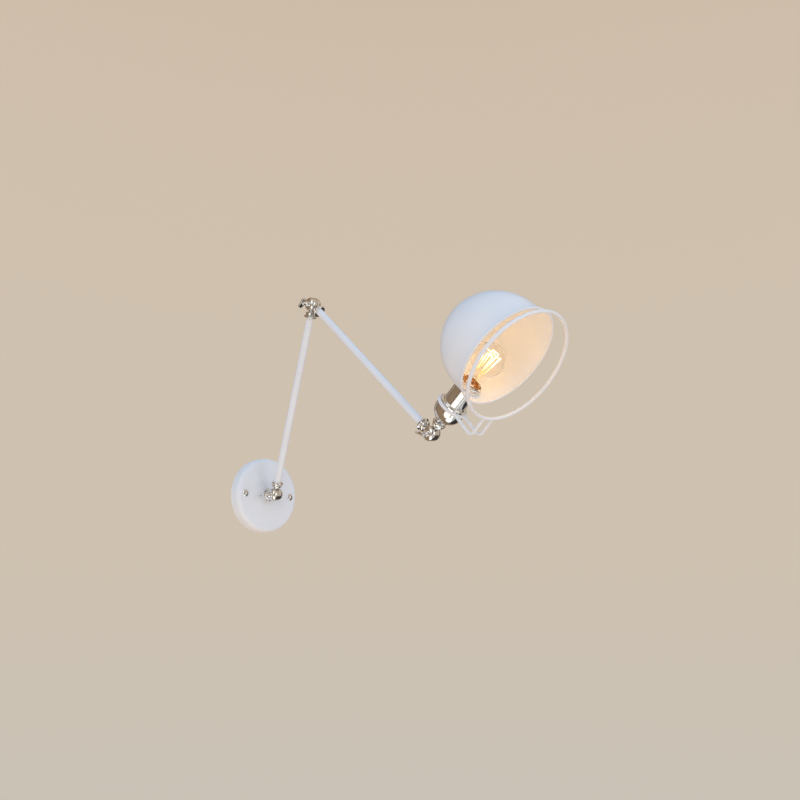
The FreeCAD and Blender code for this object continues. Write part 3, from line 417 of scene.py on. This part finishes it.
def glazed_porcelain(name):
    """Glazed porcelain with pinholes and a slightly uneven glaze."""
    finish = Finish(name)
    finish.set(Coat_Weight=0.6, Coat_Roughness=0.06)
    speck = finish.noise(scale=900.0, detail=2.0)
    finish.colour(finish.ramp(speck, GLAZE_DARK, GLAZE_LIGHT, start=0.24, end=0.34))
    finish.roughness(finish.span(finish.noise(scale=150.0), low=0.18, high=0.3))
    finish.bump(finish.noise(scale=260.0, detail=2.0), distance=0.00005)
    return finish.material


def black_glass(name):
    """The black glass between the bulb's cap and its tip."""
    finish = Finish(name)
    flow = finish.noise(scale=500.0, detail=4.0)
    finish.colour(finish.ramp(flow, VITRITE_DARK, VITRITE_LIGHT, start=0.3, end=0.7))
    finish.roughness(finish.span(flow, low=0.12, high=0.3))
    finish.bump(flow, distance=0.00005)
    return finish.material


def clear_glass(name):
    """Blown glass: nearly clear, with faint waves."""
    finish = Finish(name)
    finish.set(Transmission_Weight=1.0, IOR=1.2)
    waves = finish.noise(scale=70.0, detail=2.0)
    finish.colour(finish.ramp(waves, GLASS_DARK, GLASS_LIGHT, start=0.3, end=0.7))
    finish.roughness(finish.span(finish.noise(scale=300.0, detail=2.0), low=0.0, high=0.03))
    finish.bump(waves, distance=0.00012, strength=0.5)
    return finish.material


def glowing_wire(name):
    """Drawn wire at white heat, cooler towards the bulb's cap."""
    finish = Finish(name)
    finish.set(Metallic=1.0, Emission_Strength=GLOW_STRENGTH)
    low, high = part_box("filament")
    axis = (centre("filament") - centre("bulb_tip")).normalized()
    rise = finish.along(axis, centre("filament"), (high - low).length / 2)
    heat = finish.combined(rise, finish.noise(scale=220.0))
    glow = finish.ramp(heat, GLOW_COOL, GLOW_HOT, start=0.0, end=0.55)
    finish.colour(glow)
    finish.links.new(glow, finish.shader.inputs["Emission Color"])
    finish.roughness(finish.span(heat, low=0.5, high=0.3))
    finish.bump(finish.noise(scale=3000.0, detail=2.0), distance=0.00002)
    return finish.material


FINISHES = {
    "white_paint": enamel("white_enamel"),
    "white_wire": enamel("wire_enamel"),
    "chrome": chrome("chrome_plate", smooth=0.035, hazed=0.13),
    "zinc_steel": zinc("zinc_plate"),
    "brass": brass("stamped_brass"),
    "lead_sleeve": woven_sleeve("woven_sleeve"),
    "fibre": fibre("pressed_fibre"),
    "terminal_plastic": moulded_plastic("moulded_plastic"),
    "ceramic": glazed_porcelain("glazed_porcelain"),
    "black_glass": black_glass("black_glass"),
    "clear_glass": clear_glass("clear_glass"),
    "filament_wire": glowing_wire("glowing_wire"),
}

for subpart in frame["record"]["subparts"]:
    mesh = frame["nodes"][subpart["node"]].data
    mesh.materials.clear()
    mesh.materials.append(FINISHES[subpart["material_slot"]])

# The ring inside the shade is duller than the rest of the plated metal
ring_mesh = frame["nodes"]["ring_nut"].data
ring_mesh.materials.clear()
ring_mesh.materials.append(chrome("satin_plate", smooth=0.16, hazed=0.26))

# Thin glass lets the bulb's light through
for node in ("bulb_glass", "bulb_stem"):
    frame["nodes"][node].visible_shadow = False


# Studio

def around(distance, direction):
    """A point in the studio, by its distance and direction from the lamp's middle."""
    return object_middle + Vector(direction).normalized() * distance


def aim(thing, place, target):
    """Puts a light or a card in its place, turned towards a target."""
    thing.location = place
    thing.rotation_mode = "QUATERNION"
    thing.rotation_quaternion = (target - place).to_track_quat("-Z", "Y")


def sweep():
    """A floor that curves up into a round wall, plain and pale."""
    outline = [(0.0, 0.0), (FLOOR_RADIUS, 0.0)]
    for step in range(1, SWEEP_ARC_STEPS + 1):
        turn = math.pi / 2 * step / SWEEP_ARC_STEPS
        outline.append((FLOOR_RADIUS + SWEEP_RADIUS * math.sin(turn), SWEEP_RADIUS * (1 - math.cos(turn))))
    outline.append((FLOOR_RADIUS + SWEEP_RADIUS, SWEEP_TOP))
    outline.append((0.0, SWEEP_TOP))
    low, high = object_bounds()
    middle = (low + high) / 2
    points = []
    for column in range(SWEEP_SEGMENTS):
        turn = 2 * math.pi * column / SWEEP_SEGMENTS
        for radius, height in outline:
            x = middle.x + radius * math.cos(turn)
            y = middle.y + radius * math.sin(turn)
            points.append((x, y, FLOOR_HEIGHT + height))
    faces = []
    rows = len(outline)
    for column in range(SWEEP_SEGMENTS):
        here = column * rows
        after = (column + 1) % SWEEP_SEGMENTS * rows
        for row in range(rows - 1):
            faces.append((here + row, here + row + 1, after + row + 1, after + row))
    mesh = bpy.data.meshes.new("studio_sweep")
    mesh.from_pydata(points, [], faces)
    mesh.polygons.foreach_set("use_smooth", [True] * len(mesh.polygons))
    paper = bpy.data.materials.new("sweep_paper")
    paper.use_nodes = True
    shader = paper.node_tree.nodes["Principled BSDF"]
    shader.inputs["Base Color"].default_value = (*SWEEP_COLOUR, 1.0)
    shader.inputs["Roughness"].default_value = SWEEP_ROUGHNESS
    shader.inputs["Specular IOR Level"].default_value = SWEEP_SPECULAR
    shader.inputs["Emission Color"].default_value = (*SWEEP_GLOW_COLOUR, 1.0)
    shader.inputs["Emission Strength"].default_value = SWEEP_GLOW
    mesh.materials.append(paper)
    floor = bpy.data.objects.new("studio_sweep", mesh)
    bpy.context.scene.collection.objects.link(floor)
    floor.visible_diffuse = False
    floor.visible_shadow = False


def world():
    """Soft light from all round: warm from below, cool from above."""
    surround = bpy.data.worlds.new("studio_world")
    surround.use_nodes = True
    nodes = surround.node_tree.nodes
    links = surround.node_tree.links
    direction = nodes.new("ShaderNodeSeparateXYZ")
    links.new(nodes.new("ShaderNodeTexCoord").outputs["Generated"], direction.inputs["Vector"])
    height = nodes.new("ShaderNodeMapRange")
    height.inputs["From Min"].default_value = STRAIGHT_DOWN
    links.new(direction.outputs["Z"], height.inputs["Value"])
    shade = nodes.new("ShaderNodeValToRGB")
    shade.color_ramp.elements[0].color = (*WORLD_LOW, 1.0)
    shade.color_ramp.elements[1].color = (*WORLD_HIGH, 1.0)
    shade.color_ramp.elements.new(HORIZON).color = (*WORLD_LEVEL, 1.0)
    links.new(height.outputs["Result"], shade.inputs["Fac"])
    links.new(shade.outputs["Color"], nodes["Background"].inputs["Color"])
    bpy.context.scene.world = surround


def soft_box(name, place, size, power, colour):
    """A square studio light that shines on the lamp."""
    light = bpy.data.lights.new(name, "AREA")
    light.shape = "SQUARE"
    light.size = size
    light.energy = power
    light.color = colour
    lamp = bpy.data.objects.new(name, light)
    aim(lamp, place, object_middle)
    lamp.visible_camera = False
    bpy.context.scene.collection.objects.link(lamp)


def reflected_card(name, place, target, width, height, colour, glow=0.0):
    """A card beside the lights, which only polished surfaces see."""
    half = width / 2
    rise = height / 2
    corners = [(-half, -rise, 0), (half, -rise, 0), (half, rise, 0), (-half, rise, 0)]
    mesh = bpy.data.meshes.new(name)
    mesh.from_pydata(corners, [], [(0, 1, 2, 3)])
    cloth = bpy.data.materials.new(name)
    cloth.use_nodes = True
    shader = cloth.node_tree.nodes["Principled BSDF"]
    shader.inputs["Base Color"].default_value = (*colour, 1.0)
    shader.inputs["Roughness"].default_value = CARD_ROUGHNESS
    shader.inputs["Emission Color"].default_value = (*colour, 1.0)
    shader.inputs["Emission Strength"].default_value = glow
    cloth.cycles.emission_sampling = "NONE"
    mesh.materials.append(cloth)
    card = bpy.data.objects.new(name, mesh)
    aim(card, place, target)
    card.visible_camera = False
    card.visible_diffuse = False
    card.visible_shadow = False
    card.visible_transmission = False
    bpy.context.scene.collection.objects.link(card)


def wall_cards():
    """Tan cards in the wall's place, round an opening behind the plate, for the metal to reflect."""
    length = WALL_CARD_REACH - WALL_CARD_OPENING
    offset = (WALL_CARD_REACH + WALL_CARD_OPENING) / 2
    full_height = 2 * WALL_CARD_REACH
    opening_width = 2 * WALL_CARD_OPENING
    forward = Vector((0.0, -1.0, 0.0))
    for side in (-1, 1):
        beside = Vector((side * offset, WALL_CARD_SETBACK, 0.0))
        across = Vector((0.0, WALL_CARD_SETBACK, side * offset))
        reflected_card("wall_card_x", beside, beside + forward, length, full_height, WALL_CARD_COLOUR)
        reflected_card("wall_card_z", across, across + forward, opening_width, length, WALL_CARD_COLOUR)


def bulb_light():
    """The warm light that the lit filament throws into the shade."""
    light = bpy.data.lights.new("bulb_light", "POINT")
    light.energy = BULB_POWER
    light.color = BULB_LIGHT
    light.shadow_soft_size = BULB_LIGHT_RADIUS
    lamp = bpy.data.objects.new("bulb_light", light)
    lamp.location = centre("filament")
    lamp.visible_camera = False
    lamp.visible_transmission = False
    bpy.context.scene.collection.objects.link(lamp)
    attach(lamp, "head")


def camera():
    """The camera that took the photograph, as fitted to it."""
    data = bpy.data.cameras.new("photo_camera")
    data.lens = CAMERA_LENS
    data.sensor_width = CAMERA_SENSOR
    data.clip_start = CAMERA_CLIP_START
    data.clip_end = CAMERA_CLIP_END
    view = bpy.data.objects.new("photo_camera", data)
    view.location = CAMERA_PLACE
    view.rotation_euler = [math.radians(turn) for turn in CAMERA_TURN]
    bpy.context.scene.collection.objects.link(view)
    bpy.context.scene.camera = view


sweep()
world()
for name, box in SOFT_BOXES.items():
    place = around(box["distance"], box["direction"])
    soft_box(name, place, box["size"], box["power"], box["colour"])
for name, card in CARDS.items():
    place = around(card["distance"], card["direction"])
    reflected_card(name, place, object_middle, card["width"], card["height"], card["colour"], card["glow"])
wall_cards()
bulb_light()
camera()
bpy.context.scene.view_settings.view_transform = "Standard"
